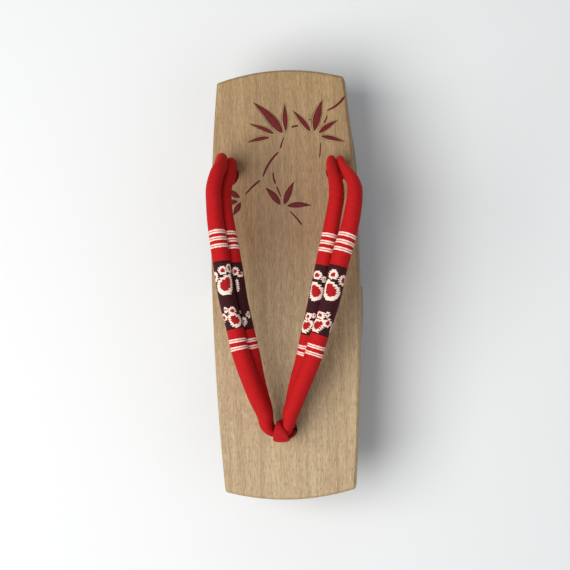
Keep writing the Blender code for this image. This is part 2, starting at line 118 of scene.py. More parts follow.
# Where each tube runs from a rear hole to the fold, as shares:
# back of the strap's run, out of its spread, rise of its height, wide and tall of the tube's diameter.
OUTER_SIDE_OUTER_TUBE = (
    (1.024, 0.735, 0.15, 0.58, 0.80),
    (1.046, 0.738, 0.34, 0.64, 0.86),
    (1.042, 0.728, 0.53, 0.72, 0.92),
    (1.019, 0.720, 0.71, 0.78, 0.98),
    (0.985, 0.755, 0.84, 0.82, 1.00),
    (0.930, 0.789, 0.93, 0.87, 1.02),
    (0.862, 0.780, 0.98, 0.91, 1.03),
    (0.799, 0.765, 1.00, 0.94, 1.03),
    (0.695, 0.723, 0.96, 1.01, 1.02),
    (0.523, 0.660, 0.87, 0.99, 1.00),
    (0.402, 0.581, 0.76, 1.00, 1.00),
    (0.318, 0.533, 0.70, 1.02, 1.00),
    (0.157, 0.374, 0.56, 1.00, 1.00),
    (0.066, 0.263, 0.45, 0.88, 0.98),
    (0.028, 0.248, 0.41, 0.76, 0.97),
)
OUTER_SIDE_INNER_TUBE = (
    (1.016, 0.632, 0.15, 0.58, 0.78),
    (1.034, 0.628, 0.30, 0.66, 0.86),
    (1.012, 0.634, 0.44, 0.74, 0.92),
    (0.975, 0.656, 0.56, 0.82, 0.96),
    (0.927, 0.684, 0.68, 0.90, 1.00),
    (0.865, 0.676, 0.78, 0.94, 1.00),
    (0.800, 0.652, 0.81, 0.98, 1.00),
    (0.695, 0.598, 0.80, 1.00, 1.00),
    (0.589, 0.552, 0.74, 1.00, 1.00),
    (0.508, 0.522, 0.68, 0.98, 1.00),
    (0.403, 0.466, 0.58, 1.00, 1.00),
    (0.326, 0.420, 0.51, 1.00, 1.00),
    (0.190, 0.348, 0.38, 0.98, 0.98),
    (0.080, 0.261, 0.29, 0.84, 0.86),
    (0.034, 0.243, 0.24, 0.72, 0.76),
)
INNER_SIDE_INNER_TUBE = (
    (1.018, 0.655, 0.15, 0.58, 0.78),
    (1.030, 0.657, 0.30, 0.62, 0.84),
    (1.010, 0.666, 0.44, 0.68, 0.92),
    (0.977, 0.697, 0.60, 0.76, 0.96),
    (0.930, 0.734, 0.75, 0.90, 1.00),
    (0.883, 0.738, 0.83, 0.94, 1.00),
    (0.845, 0.716, 0.87, 0.94, 1.00),
    (0.780, 0.672, 0.89, 0.95, 1.00),
    (0.614, 0.540, 0.80, 1.00, 1.00),
    (0.472, 0.424, 0.67, 1.00, 1.00),
    (0.374, 0.333, 0.57, 1.00, 1.00),
    (0.302, 0.277, 0.50, 1.00, 1.00),
    (0.197, 0.166, 0.38, 0.98, 0.98),
    (0.153, 0.123, 0.34, 0.96, 0.96),
    (0.107, 0.084, 0.31, 0.90, 0.92),
    (0.072, 0.042, 0.29, 0.82, 0.86),
    (0.038, 0.036, 0.24, 0.66, 0.76),
)
INNER_SIDE_OUTER_TUBE = (
    (1.022, 0.762, 0.15, 0.52, 0.74),
    (1.027, 0.776, 0.34, 0.54, 0.78),
    (1.008, 0.804, 0.50, 0.55, 0.82),
    (0.980, 0.866, 0.66, 0.61, 0.88),
    (0.955, 0.930, 0.79, 0.71, 0.94),
    (0.920, 0.968, 0.88, 0.84, 0.96),
    (0.881, 0.968, 0.95, 0.90, 0.96),
    (0.843, 0.949, 0.98, 0.96, 0.96),
    (0.780, 0.905, 1.00, 1.00, 0.96),
    (0.694, 0.815, 0.98, 1.07, 0.96),
    (0.613, 0.733, 0.93, 1.07, 0.96),
    (0.501, 0.634, 0.84, 1.07, 0.96),
    (0.374, 0.481, 0.74, 1.06, 0.96),
    (0.284, 0.378, 0.66, 1.04, 0.96),
    (0.157, 0.190, 0.55, 1.02, 0.98),
    (0.114, 0.128, 0.50, 0.98, 0.98),
    (0.070, 0.068, 0.46, 0.88, 0.98),
    (0.036, 0.044, 0.42, 0.74, 0.97),
)

# The front loop from behind the strap's fold over it to its front, as shares: forward of the way clear of
# the fold, height of the fold's height, over of the way clear above the fold, lean of the fold's lean, and
# wide of the loop's width.
LOOP_OVER_THE_FOLD = (
    (-1.00, 0.30, 0.00, 1.20, 0.46),
    (-1.03, 0.70, 0.00, 1.50, 0.38),
    (-0.98, 1.00, 0.27, 1.50, 0.38),
    (-0.71, 1.00, 0.76, 1.45, 0.42),
    (0.00, 1.00, 1.00, 1.20, 0.70),
    (0.71, 1.00, 0.76, 1.00, 0.88),
    (0.98, 1.00, 0.27, 1.00, 0.92),
    (1.03, 0.70, 0.00, 1.05, 0.88),
    (1.00, 0.30, 0.00, 1.00, 0.72),
)


# Camera and studio

BOARD_MIDDLE = Vector((0.0, (HEEL_END + TOE_END) / 2.0, HEIGHT))
CAMERA_HEIGHT = 799.0 * MM  # above the board
CAMERA_ASIDE = 74.0 * MM  # to the sandal's inner side
CAMERA_ROLL = math.radians(1.40)
LENS = 90.8


def aim(location, target, across):
    """A matrix at location whose -Z looks at target and whose X lies as near to across as it can."""
    back = (location - target).normalized()
    right = (across - across.dot(back) * back).normalized()
    up = back.cross(right)
    turned = Matrix((right, up, back)).transposed().to_4x4()
    return Matrix.Translation(location) @ turned


def make_camera():
    """Straight above the board and a little to its inner side, rolled so that the toe leans to the right."""
    data = bpy.data.cameras.new("camera")
    data.lens = LENS
    camera = bpy.data.objects.new("camera", data)
    bpy.context.scene.collection.objects.link(camera)
    place = BOARD_MIDDLE + Vector((CAMERA_ASIDE, 0.0, CAMERA_HEIGHT))
    across = Vector((math.cos(CAMERA_ROLL), -math.sin(CAMERA_ROLL), 0.0))
    camera.matrix_world = aim(place, BOARD_MIDDLE, across)
    bpy.context.scene.camera = camera


# name, place in metres, side in metres, watts, colour
LAMPS = (
    ("key lamp", (-0.58, -0.15, 1.00), 1.00, 17.4, (1.0, 0.97, 0.93)),
    ("fill lamp", (0.80, -0.30, 0.85), 0.90, 1.8, (0.96, 0.98, 1.0)),
    ("heel lamp", (0.05, 1.05, 0.75), 0.70, 0.8, (1.0, 0.99, 0.97)),
)


def make_lamps():
    for name, place, side, watts, colour in LAMPS:
        data = bpy.data.lights.new(name, "AREA")
        data.size = side
        data.energy = watts
        data.color = colour
        lamp = bpy.data.objects.new(name, data)
        bpy.context.scene.collection.objects.link(lamp)
        lamp.matrix_world = aim(Vector(place), BOARD_MIDDLE, Vector((0.0, 1.0, 0.0)))
    world = bpy.data.worlds.new("studio")
    world.use_nodes = True
    sky = world.node_tree.nodes["Background"]
    sky.inputs["Color"].default_value = (*linear("dfe3e8"), 1.0)
    sky.inputs["Strength"].default_value = 0.40
    bpy.context.scene.world = world
    bpy.context.scene.view_settings.view_transform = "Standard"


FLOOR_SIDE = 4.0


def make_floor():
    half = FLOOR_SIDE / 2.0
    corners = [(-half, -half, 0.0), (half, -half, 0.0), (half, half, 0.0), (-half, half, 0.0)]
    mesh = bpy.data.meshes.new("studio_floor")
    mesh.from_pydata(corners, [], [(0, 1, 2, 3)])
    floor = bpy.data.objects.new("studio_floor", mesh)
    bpy.context.scene.collection.objects.link(floor)
    mesh.materials.append(matte_paper())


# Materials

def linear(hex_colour):
    """sRGB hex to the linear values that a shader takes."""
    channels = [int(hex_colour[i : i + 2], 16) / 255.0 for i in (0, 2, 4)]
    return [c / 12.92 if c <= 0.04045 else ((c + 0.055) / 1.055) ** 2.4 for c in channels]


def new_material(name):
    material = bpy.data.materials.new(name)
    material.use_nodes = True
    material.node_tree.nodes.clear()
    return material


def add(material, kind, inputs=None, stops=None, **settings):
    """Adds a shader node and returns its outputs. inputs fills or links its sockets by name or number, stops
    are the (place, sRGB hex) rows of a ramp, and settings are the node's own."""
    tree = material.node_tree
    node = tree.nodes.new("ShaderNode" + kind)
    for name, value in settings.items():
        setattr(node, name, value)
    for socket, value in (inputs or {}).items():
        if isinstance(value, bpy.types.NodeSocket):
            tree.links.new(value, node.inputs[socket])
        else:
            node.inputs[socket].default_value = value
    for i, (place, hex_colour) in enumerate(stops or ()):
        ramp = node.color_ramp.elements
        stop = ramp[i] if i < 2 else ramp.new(place)
        stop.position = place
        stop.color = (*linear(hex_colour), 1.0)
    return node.outputs


def add_surface(material, **inputs):
    """The Principled shader, its sockets named with underscores for spaces, joined to the output."""
    sockets = {name.replace("_", " "): value for name, value in inputs.items()}
    shader = add(material, "BsdfPrincipled", sockets)["BSDF"]
    add(material, "OutputMaterial", {"Surface": shader})
    return material


def matte_paper():
    """Studio background paper: matt, pale, without a grain that shows."""
    material = new_material("pale studio paper")
    return add_surface(material, Base_Color=(*linear("d9dbdd"), 1.0), Roughness=0.9)


# The wood's slow change along the board, painted shade that its colours are multiplied by: the share of the
# way from the heel's end to the toe's, and the colour. It is darkest and warmest under the strap, where it
# paints the strap's shadow, and palest at the toe.
PAINTED_SHADE_ALONG_BOARD = ((0.0, "e2d8c0"), (0.38, "d0baa8"), (0.68, "ffffff"))


def paulownia(name, dark, middle, light):
    """Planed, lightly waxed paulownia, sawn on the quarter: straight pale and darker growth lines run the
    length of the block, 1 to 6 mm apart, with short open pores between them. The wax gives a low gloss."""
    material = new_material(name)
    place = add(material, "TexCoord")["Object"]

    def along_grain(across_mm, length_mm, depth_mm, **noise):
        """Noise stretched along the grain; its spots are about this many millimetres large."""
        scale = (1.0 / (across_mm * MM), 1.0 / (length_mm * MM), 1.0 / (depth_mm * MM))
        spot = add(material, "VectorMath", {0: place, 1: scale}, operation="MULTIPLY")["Vector"]
        return add(material, "TexNoise", {"Vector": spot, "Scale": 1.0, **noise})["Fac"]

    rings = along_grain(6.0, 420.0, 16.0, Detail=2.0, Roughness=0.5, Distortion=0.3)
    lines = along_grain(1.5, 90.0, 5.0, Detail=3.0, Roughness=0.6)
    fibres = along_grain(0.5, 4.5, 0.7, Detail=2.0, Roughness=0.6)
    pores = along_grain(0.6, 2.6, 0.6, Detail=1.0, Roughness=0.4)

    mixed = add(material, "Mix", {0: 0.50, 2: rings, 3: lines})["Result"]
    mixed = add(material, "Mix", {0: 0.50, 2: mixed, 3: fibres})["Result"]
    stops = ((0.34, dark), (0.50, middle), (0.66, light))
    colour = add(material, "ValToRGB", {"Fac": mixed}, stops)["Color"]
    toeward = add(material, "SeparateXYZ", {0: place})["Y"]
    ends = {"From Min": HEEL_END, "From Max": TOE_END}
    toeward = add(material, "MapRange", {"Value": toeward, **ends})["Result"]
    # painted shade: the wood is darkened under the strap, where the strap's shadow falls, and palest at the
    # toe
    painted_board_shade = add(material, "ValToRGB", {"Fac": toeward}, PAINTED_SHADE_ALONG_BOARD)["Color"]
    colour = add(material, "VectorMath", {0: colour, 1: painted_board_shade}, operation="MULTIPLY")["Vector"]
    open_pore = add(
        material,
        "MapRange",
        {"Value": pores, "From Min": 0.60, "From Max": 0.74, "To Min": 0.0, "To Max": 0.60},
    )["Result"]
    pore_colour = (*linear("6b4f35"), 1.0)
    colour = add(
        material, "Mix", {0: open_pore, 6: colour, 7: pore_colour}, data_type="RGBA"
    )[2]
    height = add(material, "Math", {0: mixed, 1: open_pore}, operation="SUBTRACT")["Value"]
    normal = add(material, "Bump", {"Height": height, "Strength": 0.35, "Distance": 0.25 * MM})["Normal"]
    roughness = add(material, "MapRange", {"Value": mixed, "To Min": 0.48, "To Max": 0.66})["Result"]
    return add_surface(material, Base_Color=colour, Roughness=roughness, Normal=normal, Coat_Weight=0.06,
                       Coat_Roughness=0.45)


LACQUER_POOL = 1.4 * MM


def maroon_lacquer():
    """Lacquer brushed into the carved leaves: deep maroon, half gloss, a little darker where it pools."""
    material = new_material("maroon brushed lacquer")
    place = add(material, "TexCoord")["Object"]
    scale = (1.0 / LACQUER_POOL,) * 3
    spot = add(material, "VectorMath", {0: place, 1: scale}, operation="MULTIPLY")["Vector"]
    pooled = add(material, "TexNoise", {"Vector": spot, "Scale": 1.0, "Detail": 2.0})["Fac"]
    colour = add(material, "ValToRGB", {"Fac": pooled}, ((0.30, "4c060b"), (0.70, "6c0c14")))["Color"]
    normal = add(material, "Bump", {"Height": pooled, "Strength": 0.25, "Distance": 0.1 * MM})["Normal"]
    return add_surface(material, Base_Color=colour, Roughness=0.55, Normal=normal, Specular_IOR_Level=0.2)


# The yarn that lies on top at a place of the cloth, as the attribute's number, and its colour
RED, CREAM, DARK, ROSE, CORE, BORDER, WINE = range(7)
YARN_HEX = ("b01014", "f0d9cc", "280f13", "cc5a56", "a01518", "1c080b", "3e1218")
YARN_COUNT = len(YARN_HEX)

RIB = 0.9 * MM
THREAD = 0.7 * MM
THREAD_SHARE = 0.4  # how high a thread stands, as a share of a rib
DYE_SPOT = 2.2 * MM


def woven(name, base, ribs_deep):
    """Plain-weave cotton: ribs across, threads along, and the slow unevenness of dyed yarn. base is a colour,
    or None where the attribute yarn picks it."""
    material = new_material(name)
    cloth = add(material, "UVMap", uv_map="cloth")["UV"]
    place = add(material, "TexCoord")["Object"]
    if base:
        colour = linear(base)
    else:
        yarn = add(material, "Attribute", attribute_name="yarn")["Fac"]
        chart = [((i - 0.25) / YARN_COUNT if i else 0.0, YARN_HEX[i]) for i in range(YARN_COUNT)]
        ramp = add(material, "ValToRGB", {"Fac": yarn}, chart)
        ramp["Color"].node.color_ramp.interpolation = "CONSTANT"
        colour = ramp["Color"]
    turns = (2.0 * math.pi / THREAD, 2.0 * math.pi / RIB, 0.0)
    turned = add(material, "VectorMath", {0: cloth, 1: turns}, operation="MULTIPLY")["Vector"]
    across, along, _ = add(material, "SeparateXYZ", {0: turned})
    rib = add(material, "Math", {0: along}, operation="SINE")["Value"]
    thread = add(material, "Math", {0: across}, operation="SINE")["Value"]
    thread = add(material, "Math", {0: thread, 1: rib}, operation="MULTIPLY")["Value"]
    weave = add(material, "Math", {0: thread, 1: THREAD_SHARE, 2: rib}, operation="MULTIPLY_ADD")["Value"]
    uneven = add(material, "TexNoise", {"Vector": place, "Scale": 1.0 / DYE_SPOT, "Detail": 3.0})["Fac"]
    highest = 1.0 + THREAD_SHARE
    # Painted shade and light of the weave: the colour is darker in the ribs' valleys and lighter on their
    # crests; slow is the dye's own unevenness.
    rib_shade_and_dye = add(material, "MapRange", {"Value": weave, "From Min": -highest, "From Max": highest,
                                       "To Min": 0.80, "To Max": 1.12})["Result"]
    slow = add(material, "MapRange", {"Value": uneven, "From Min": 0.3, "From Max": 0.7,
                                      "To Min": 0.93, "To Max": 1.07})["Result"]
    rib_shade_and_dye = add(material, "Math", {0: rib_shade_and_dye, 1: slow}, operation="MULTIPLY")["Value"]
    colour = add(material, "VectorMath", {0: colour, "Scale": rib_shade_and_dye}, operation="SCALE")["Vector"]
    normal = add(material, "Bump", {"Height": weave, "Strength": ribs_deep, "Distance": 0.15 * MM})["Normal"]
    return add_surface(material, Base_Color=colour, Roughness=0.75, Normal=normal, Specular_IOR_Level=0.15,
                       Sheen_Weight=0.32, Sheen_Roughness=0.35, Sheen_Tint=(*linear("ff5040"), 1.0))


HEMP_HAIR = 0.8 * MM


def hemp_cord():
    """Twisted hemp: pale dull straw colour, hairy, darker between the strands."""
    material = new_material("twisted hemp")
    place = add(material, "TexCoord")["Object"]
    hairs = add(material, "TexNoise", {"Vector": place, "Scale": 1.0 / HEMP_HAIR, "Detail": 4.0})["Fac"]
    colour = add(material, "ValToRGB", {"Fac": hairs}, ((0.30, "8d7a58"), (0.70, "c9b994")))["Color"]
    normal = add(material, "Bump", {"Height": hairs, "Strength": 0.5, "Distance": 0.2 * MM})["Normal"]
    return add_surface(material, Base_Color=colour, Roughness=0.85, Normal=normal)


# Meshes

def make_piece(name, points, faces, materials, finish_of_face=None):
    """A closed piece from an array of points and lists of faces, facing outwards."""
    mesh = bpy.data.meshes.new(name)
    mesh.from_pydata(np.asarray(points).tolist(), [], [list(map(int, face)) for face in faces])
    if finish_of_face is not None:
        mesh.polygons.foreach_set("material_index", np.asarray(finish_of_face, dtype=np.int32))
    for material in materials:
        mesh.materials.append(material)
    mesh.update()
    piece = bpy.data.objects.new(name, mesh)
    bpy.context.scene.collection.objects.link(piece)
    return piece


def face_out(piece):
    """Turns all faces of a closed piece outwards."""
    bm = bmesh.new()
    bm.from_mesh(piece.data)
    bmesh.ops.recalc_face_normals(bm, faces=bm.faces)
    bm.to_mesh(piece.data)
    bm.free()


def grid_faces(rows, columns, round_columns=False):
    """The quads of a grid of rows by columns points; round_columns joins the last column to the first."""
    count = columns if round_columns else columns - 1
    i, j = np.meshgrid(np.arange(rows - 1), np.arange(count), indexing="ij")
    n = (j + 1) % columns
    quads = np.stack([i * columns + j, i * columns + n, (i + 1) * columns + n, (i + 1) * columns + j], -1)
    return quads.reshape(-1, 4)


def stack(rings):
    """Equal rings laid one on another and closed by a flat lid at both ends."""
    rings = np.asarray(rings)
    rows, columns = rings.shape[:2]
    faces = grid_faces(rows, columns, True).tolist()
    faces.append(list(range(columns)))
    faces.append(list(range((rows - 1) * columns, rows * columns)))
    return rings.reshape(-1, 3), faces


def settle(piece):
    """Replaces the piece's mesh by what its modifiers make of it."""
    seen = piece.evaluated_get(bpy.context.evaluated_depsgraph_get())
    mesh = bpy.data.meshes.new_from_object(seen)
    piece.modifiers.clear()
    old = piece.data
    piece.data = mesh
    bpy.data.meshes.remove(old)


def cut(piece, tool, operation="DIFFERENCE"):
    """An exact Boolean that also takes over the tool's finishes; the tool is used up."""
    face_out(tool)
    modifier = piece.modifiers.new(tool.name, "BOOLEAN")
    modifier.operation = operation
    modifier.solver = "EXACT"
    modifier.material_mode = "TRANSFER"
    modifier.object = tool
    settle(piece)
    bpy.data.objects.remove(tool, do_unlink=True)


# The wooden sole

def half_width(y):
    """Half the board's width: it shrinks with the square of the way from its widest place to a corner."""
    corner = np.where(y > WIDEST_Y, HEEL_CORNER, TOE_CORNER)
    end_width = np.where(y > WIDEST_Y, HEEL_WIDTH, TOE_WIDTH)
    share = (y - WIDEST_Y) / (corner - WIDEST_Y)
    return (WIDTH + (end_width - WIDTH) * share**2) / 2.0


def board_outline(inset=0.0, side_steps=72, end_steps=40, corner_steps=7):
    """The board from above, moved inwards by inset, clockwise from the inner heel corner: two bowed sides,
    two arched ends (a parabola with its inner corner set back), and a quadratic curve round each corner."""
    radius = max(CORNER_RADIUS - inset, CORNER_RADIUS / 4.0)
    t = np.linspace(0.0, 1.0, corner_steps)[1:-1, None]
    pieces = []
    for side, start, stop, width, rise in (
        (1.0, HEEL_CORNER, TOE_CORNER, TOE_WIDTH, -TOE_ARC_RISE),
        (-1.0, TOE_CORNER, HEEL_CORNER, HEEL_WIDTH, HEEL_ARC_RISE),
    ):
        start, stop, width = start - side * inset, stop + side * inset, width - 2.0 * inset
        trim = math.copysign(radius, stop - start)
        y = np.linspace(start + trim, stop - trim, side_steps)
        long_side = np.stack([side * (half_width(y) - inset), y], -1)
        share = side * np.linspace(1.0, -1.0, end_steps) * (1.0 - 2.0 * radius / width)
        arch = stop + rise * (1.0 - share**2) + END_SKEW * share / 2.0
        end = np.stack([share * width / 2.0, arch], -1)
        pieces += [long_side, end]
    corners = (
        (TOE_WIDTH / 2.0 - inset, TOE_CORNER + END_SKEW / 2.0 + inset),
        (inset - TOE_WIDTH / 2.0, TOE_CORNER - END_SKEW / 2.0 + inset),
        (inset - HEEL_WIDTH / 2.0, HEEL_CORNER - END_SKEW / 2.0 - inset),
        (HEEL_WIDTH / 2.0 - inset, HEEL_CORNER + END_SKEW / 2.0 - inset),
    )
    loop = []
    for i, corner in enumerate(corners):
        first, last = pieces[i][-1], pieces[(i + 1) % 4][0]
        curve = (1.0 - t) ** 2 * first + 2.0 * t * (1.0 - t) * np.array(corner) + t**2 * last
        loop += [pieces[i], curve]
    return np.concatenate(loop)


# The worn top edge as shares of the chamfer: inwards, and down from the board's top.
EDGE_ROWS = ((0.00, 1.34), (0.05, 1.12), (0.17, 0.94), (0.94, 0.17), (1.12, 0.05), (1.34, 0.00))


def upright_block(wood):
    """The outline pulled up from below the floor, narrowing over the edge rows to the top face."""
    loop = board_outline()
    rings = [np.column_stack([loop, np.full(len(loop), -BOARD_THICKNESS)])]
    for inset, drop in EDGE_ROWS:
        z = np.full(len(loop), HEIGHT - drop * TOP_CHAMFER)
        rings.append(np.column_stack([board_outline(inset * TOP_CHAMFER), z]))
    points, faces = stack(rings)
    return make_piece("carved_sole", points, faces, [wood])


ARC_REACH = 0.45  # the most of a side of the profile that an arc may take up


def rounded(rows, steps=9):
    """A polyline of (y, z, radius) rows with a true arc of that radius at each corner."""
    points = []
    for i, (y, z, radius) in enumerate(rows):
        here = np.array([y, z])
        if radius == 0.0:
            points.append(here[None])
            continue
        arms = [np.array(rows[k][:2]) - here for k in (i - 1, i + 1)]
        lengths = [np.linalg.norm(arm) for arm in arms]
        arms = [arm / length for arm, length in zip(arms, lengths)]
        half = math.acos(arms[0] @ arms[1]) / 2.0
        reach = min(radius / math.tan(half), ARC_REACH * min(lengths))
        middle = arms[0] + arms[1]
        centre = here + middle / np.linalg.norm(middle) * reach / math.cos(half)
        spokes = [here + arm * reach - centre for arm in arms]
        turn = math.pi - 2.0 * half
        t = np.linspace(0.0, 1.0, steps)[:, None]
        arc = np.sin((1.0 - t) * turn) * spokes[0] + np.sin(t * turn) * spokes[1]
        points.append(centre + arc / math.sin(turn))
    return np.concatenate(points)


def side_profile():
    """The block from its side: flat top, thin heel, slanted rear tooth, arch, front tooth, rising toe."""
    tooth_toe, tooth_heel = -FRONT_TOOTH / 2.0, FRONT_TOOTH / 2.0
    rear_toe = tooth_heel + ARCH
    rear_heel = rear_toe + REAR_TOOTH
    underside = HEIGHT - BOARD_THICKNESS
    heel_underside, toe_underside = HEIGHT - HEEL_THICKNESS, HEIGHT - TOE_THICKNESS
    slope_end = tooth_toe - FRONT_SLOPE
    toe_rise = (toe_underside - underside) / (slope_end - TOE_END) * BOARD_THICKNESS
    above = HEIGHT + BOARD_THICKNESS
    beyond_heel, beyond_toe = HEEL_END + BOARD_THICKNESS, TOE_END - BOARD_THICKNESS
    return rounded(
        (
            (beyond_heel, heel_underside, 0.0),
            (rear_heel + REAR_SLOPE, heel_underside - REAR_DROP, SLOPE_RADIUS),
            (rear_heel, 0.0, TREAD_RADIUS),
            (rear_toe, 0.0, 0.0),
            (rear_toe, underside, ROOT_RADIUS),
            (tooth_heel, underside, ROOT_RADIUS),
            (tooth_heel, 0.0, 0.0),
            (tooth_toe, 0.0, TREAD_RADIUS),
            (slope_end, underside, SLOPE_RADIUS),
            (beyond_toe, toe_underside + toe_rise, 0.0),
            (beyond_toe, above, 0.0),
            (beyond_heel, above, 0.0),
        )
    )


def bar(name, radius, mouth, lean, finish, sides=48):
    """A round bar through the board, centred on a hole's mouth and leaning back from upright by lean."""
    turn = np.linspace(0.0, 2.0 * math.pi, sides, endpoint=False)
    axis = np.array([0.0, math.sin(lean), math.cos(lean)])
    across = np.array([0.0, math.cos(lean), -math.sin(lean)])
    ring = radius * (np.cos(turn)[:, None] * np.array([1.0, 0.0, 0.0]) + np.sin(turn)[:, None] * across)
    reach = 2.0 * BOARD_THICKNESS
    points, faces = stack([np.array(mouth) + ring + axis * step for step in (-reach, reach)])
    return make_piece(name, points, faces, [finish])


# The carved spray. Lengths in millimetres on the board's top face.
# Leaves: base x and y, tip x and y, width, belly (share of the length from the base), bend to the left, and
# the bevel round the leaf as a share of RIM
LEAVES = (
    (0.6, 95.8, -15.1, 113.3, 4.7, 0.36, -0.9, 1.00),
    (2.5, 96.7, 2.2, 111.5, 2.9, 0.45, 0.1, 1.00),
    (-4.2, 95.6, -17.4, 101.5, 2.4, 0.36, -0.3, 1.00),
    (-6.7, 93.6, -18.5, 91.4, 2.2, 0.40, -0.4, 1.00),
    (16.2, 96.2, 7.0, 107.8, 2.8, 0.40, -0.3, 1.00),
    (18.5, 96.2, 23.3, 113.4, 4.2, 0.42, 0.5, 1.00),
    (20.9, 95.1, 31.4, 101.8, 2.9, 0.40, 0.3, 1.00),
    (22.0, 93.4, 34.9, 89.9, 2.4, 0.40, 0.3, 1.00),
    (-1.5, 55.9, -9.5, 65.6, 3.2, 0.42, -0.4, 0.30),
    (0.7, 56.0, 6.4, 68.4, 3.2, 0.42, 0.3, 0.30),
    (2.5, 55.1, 15.8, 55.0, 2.8, 0.40, 0.5, 0.30),
    (-24.2, 60.6, -30.6, 65.4, 2.8, 0.45, 0.3, 0.30),
    (-25.6, 58.3, -32.8, 57.9, 2.6, 0.45, 0.0, 0.30),
    (-23.9, 57.8, -28.1, 50.9, 2.7, 0.45, 0.2, 0.30),
)
# Twigs: start x and y, end x and y, width at the start and at the end, bend to the left
TWIGS = (
    (1.5, 93.5, -0.5, 87.3, 0.5, 1.1, -0.3),
    (-1.7, 85.4, -10.8, 71.9, 1.1, 1.2, -1.1),
    (-12.4, 69.9, -21.2, 61.9, 1.2, 0.8, -0.4),
    (-5.1, 74.1, -3.9, 67.5, 0.9, 1.1, -0.3),
    (-3.4, 66.1, -1.2, 60.2, 1.0, 0.6, 0.2),
    (3.5, 52.3, 10.4, 44.2, 0.7, 1.0, 0.3),
    (5.8, 98.9, 9.7, 99.7, 1.1, 1.1, 0.1),
    (25.9, 104.8, 24.0, 100.6, 0.6, 1.0, 0.2),
    (25.8, 107.5, 36.0, 115.2, 0.9, 1.5, -1.1),
    (21.8, 89.9, 21.0, 81.4, 0.5, 0.7, 0.2),
    (16.0, 102.4, 16.2, 103.1, 1.1, 1.1, 0.0),
)
RIM = 0.75 * MM  # how far the bevel round a leaf reaches
RIM_PAST_TIP = 1.3  # how far it reaches past the tip, as a share of that
ABOVE_BOARD = 0.5 * MM

# Across a leaf, from its left to its right: which outline (1 the bevel's, 0 the leaf's), share of that
# outline's half width, depth in millimetres below the top, and the finish of the strip to the row's right.
# The bevel's finishes: the cut wood is paler than the waxed top, partly its own colour and partly a painted
# highlight of the lit bevel; the scored line is dark olive, partly its own colour and partly painted shade in
# the groove.
CUT_WOOD_AND_LIGHT, SCORED_LINE_AND_SHADE, LACQUER = 0, 1, 2
LEAF_ROWS = (
    (1, -1.00, -ABOVE_BOARD / MM, SCORED_LINE_AND_SHADE),
    (1, -1.00, 0.38, SCORED_LINE_AND_SHADE),
    (1, -0.86, 0.42, CUT_WOOD_AND_LIGHT),
    (0, -1.00, 0.12, LACQUER),
    (0, -0.93, 0.55, LACQUER),
    (0, -0.45, 0.50, LACQUER),
    (0, 0.00, 0.44, LACQUER),
    (0, 0.45, 0.50, LACQUER),
    (0, 0.93, 0.55, LACQUER),
    (0, 1.00, 0.12, CUT_WOOD_AND_LIGHT),
    (1, 0.86, 0.42, SCORED_LINE_AND_SHADE),
    (1, 1.00, 0.38, SCORED_LINE_AND_SHADE),
    (1, 1.00, -ABOVE_BOARD / MM, SCORED_LINE_AND_SHADE),
)
TWIG_ROWS = (
    (0, -1.00, -ABOVE_BOARD / MM, LACQUER),
    (0, -1.00, 0.05, LACQUER),
    (0, -0.55, 0.42, LACQUER),
    (0, 0.00, 0.46, LACQUER),
    (0, 0.55, 0.42, LACQUER),
    (0, 1.00, 0.05, LACQUER),
    (0, 1.00, -ABOVE_BOARD / MM, LACQUER),
)
TIP = 0.006  # share of the length by which both ends are blunt
TWIG_END = 0.25  # share of a twig's width that is left at its ends
TWIG_BLUNT = 8  # the higher, the blunter the ends


def bent_line(start, end, bend, t, extend=0.0):
    """Points and left normals along a parabola from start to end that swings left by bend halfway."""
    start, end = np.array(start), np.array(end)
    way = end - start
    length = np.linalg.norm(way)
    left = np.array([-way[1], way[0]]) / length
    u = (t - 0.5) * (1.0 + 2.0 * extend / length) + 0.5
    points = start + way * u[:, None] + left * (4.0 * bend * u * (1.0 - u))[:, None]
    along = way + left * (4.0 * bend * (1.0 - 2.0 * u))[:, None]
    along /= np.linalg.norm(along, axis=1, keepdims=True)
    return points, np.stack([-along[:, 1], along[:, 0]], -1)


def carving_tool(name, lines, rows, finishes):
    """A closed chisel shape: rows are swept along the lines, each line (points, normals, half widths) an
    outline of the cut; opposite rows are zipped together at both ends."""
    columns = []
    for line, share, depth, _ in rows:
        points, normals, half = lines[line]
        # the rows run from left to right, so a negative share lies on the left normal's side
        flat = points - normals * (share * half)[:, None]
        columns.append(np.column_stack([flat, np.full(len(flat), HEIGHT - depth * MM)]))
    grid = np.stack(columns, 1)
    count, width = grid.shape[:2]
    faces = grid_faces(count, width, True)
    strips = np.tile([row[3] for row in rows], count - 1)
    zips, zip_strips = [], []
    for first in (0, (count - 1) * width):
        for j in range(width // 2):
            k = width - 1 - j
            quad = [first + j, first + j + 1, first + k - 1, first + k]
            zips.append(quad if j + 1 != k - 1 else quad[:2] + quad[3:])
            zip_strips.append(rows[j][3])
    faces = faces.tolist() + zips
    return make_piece(name, grid.reshape(-1, 3), faces, finishes, np.concatenate([strips, zip_strips]))


def leaf_half_width(t, width, belly):
    """Half the leaf's width: a sine of the share of the length, raised so that its crest is at belly."""
    return width / 2.0 * np.sin(math.pi * t ** (math.log(0.5) / math.log(belly)))


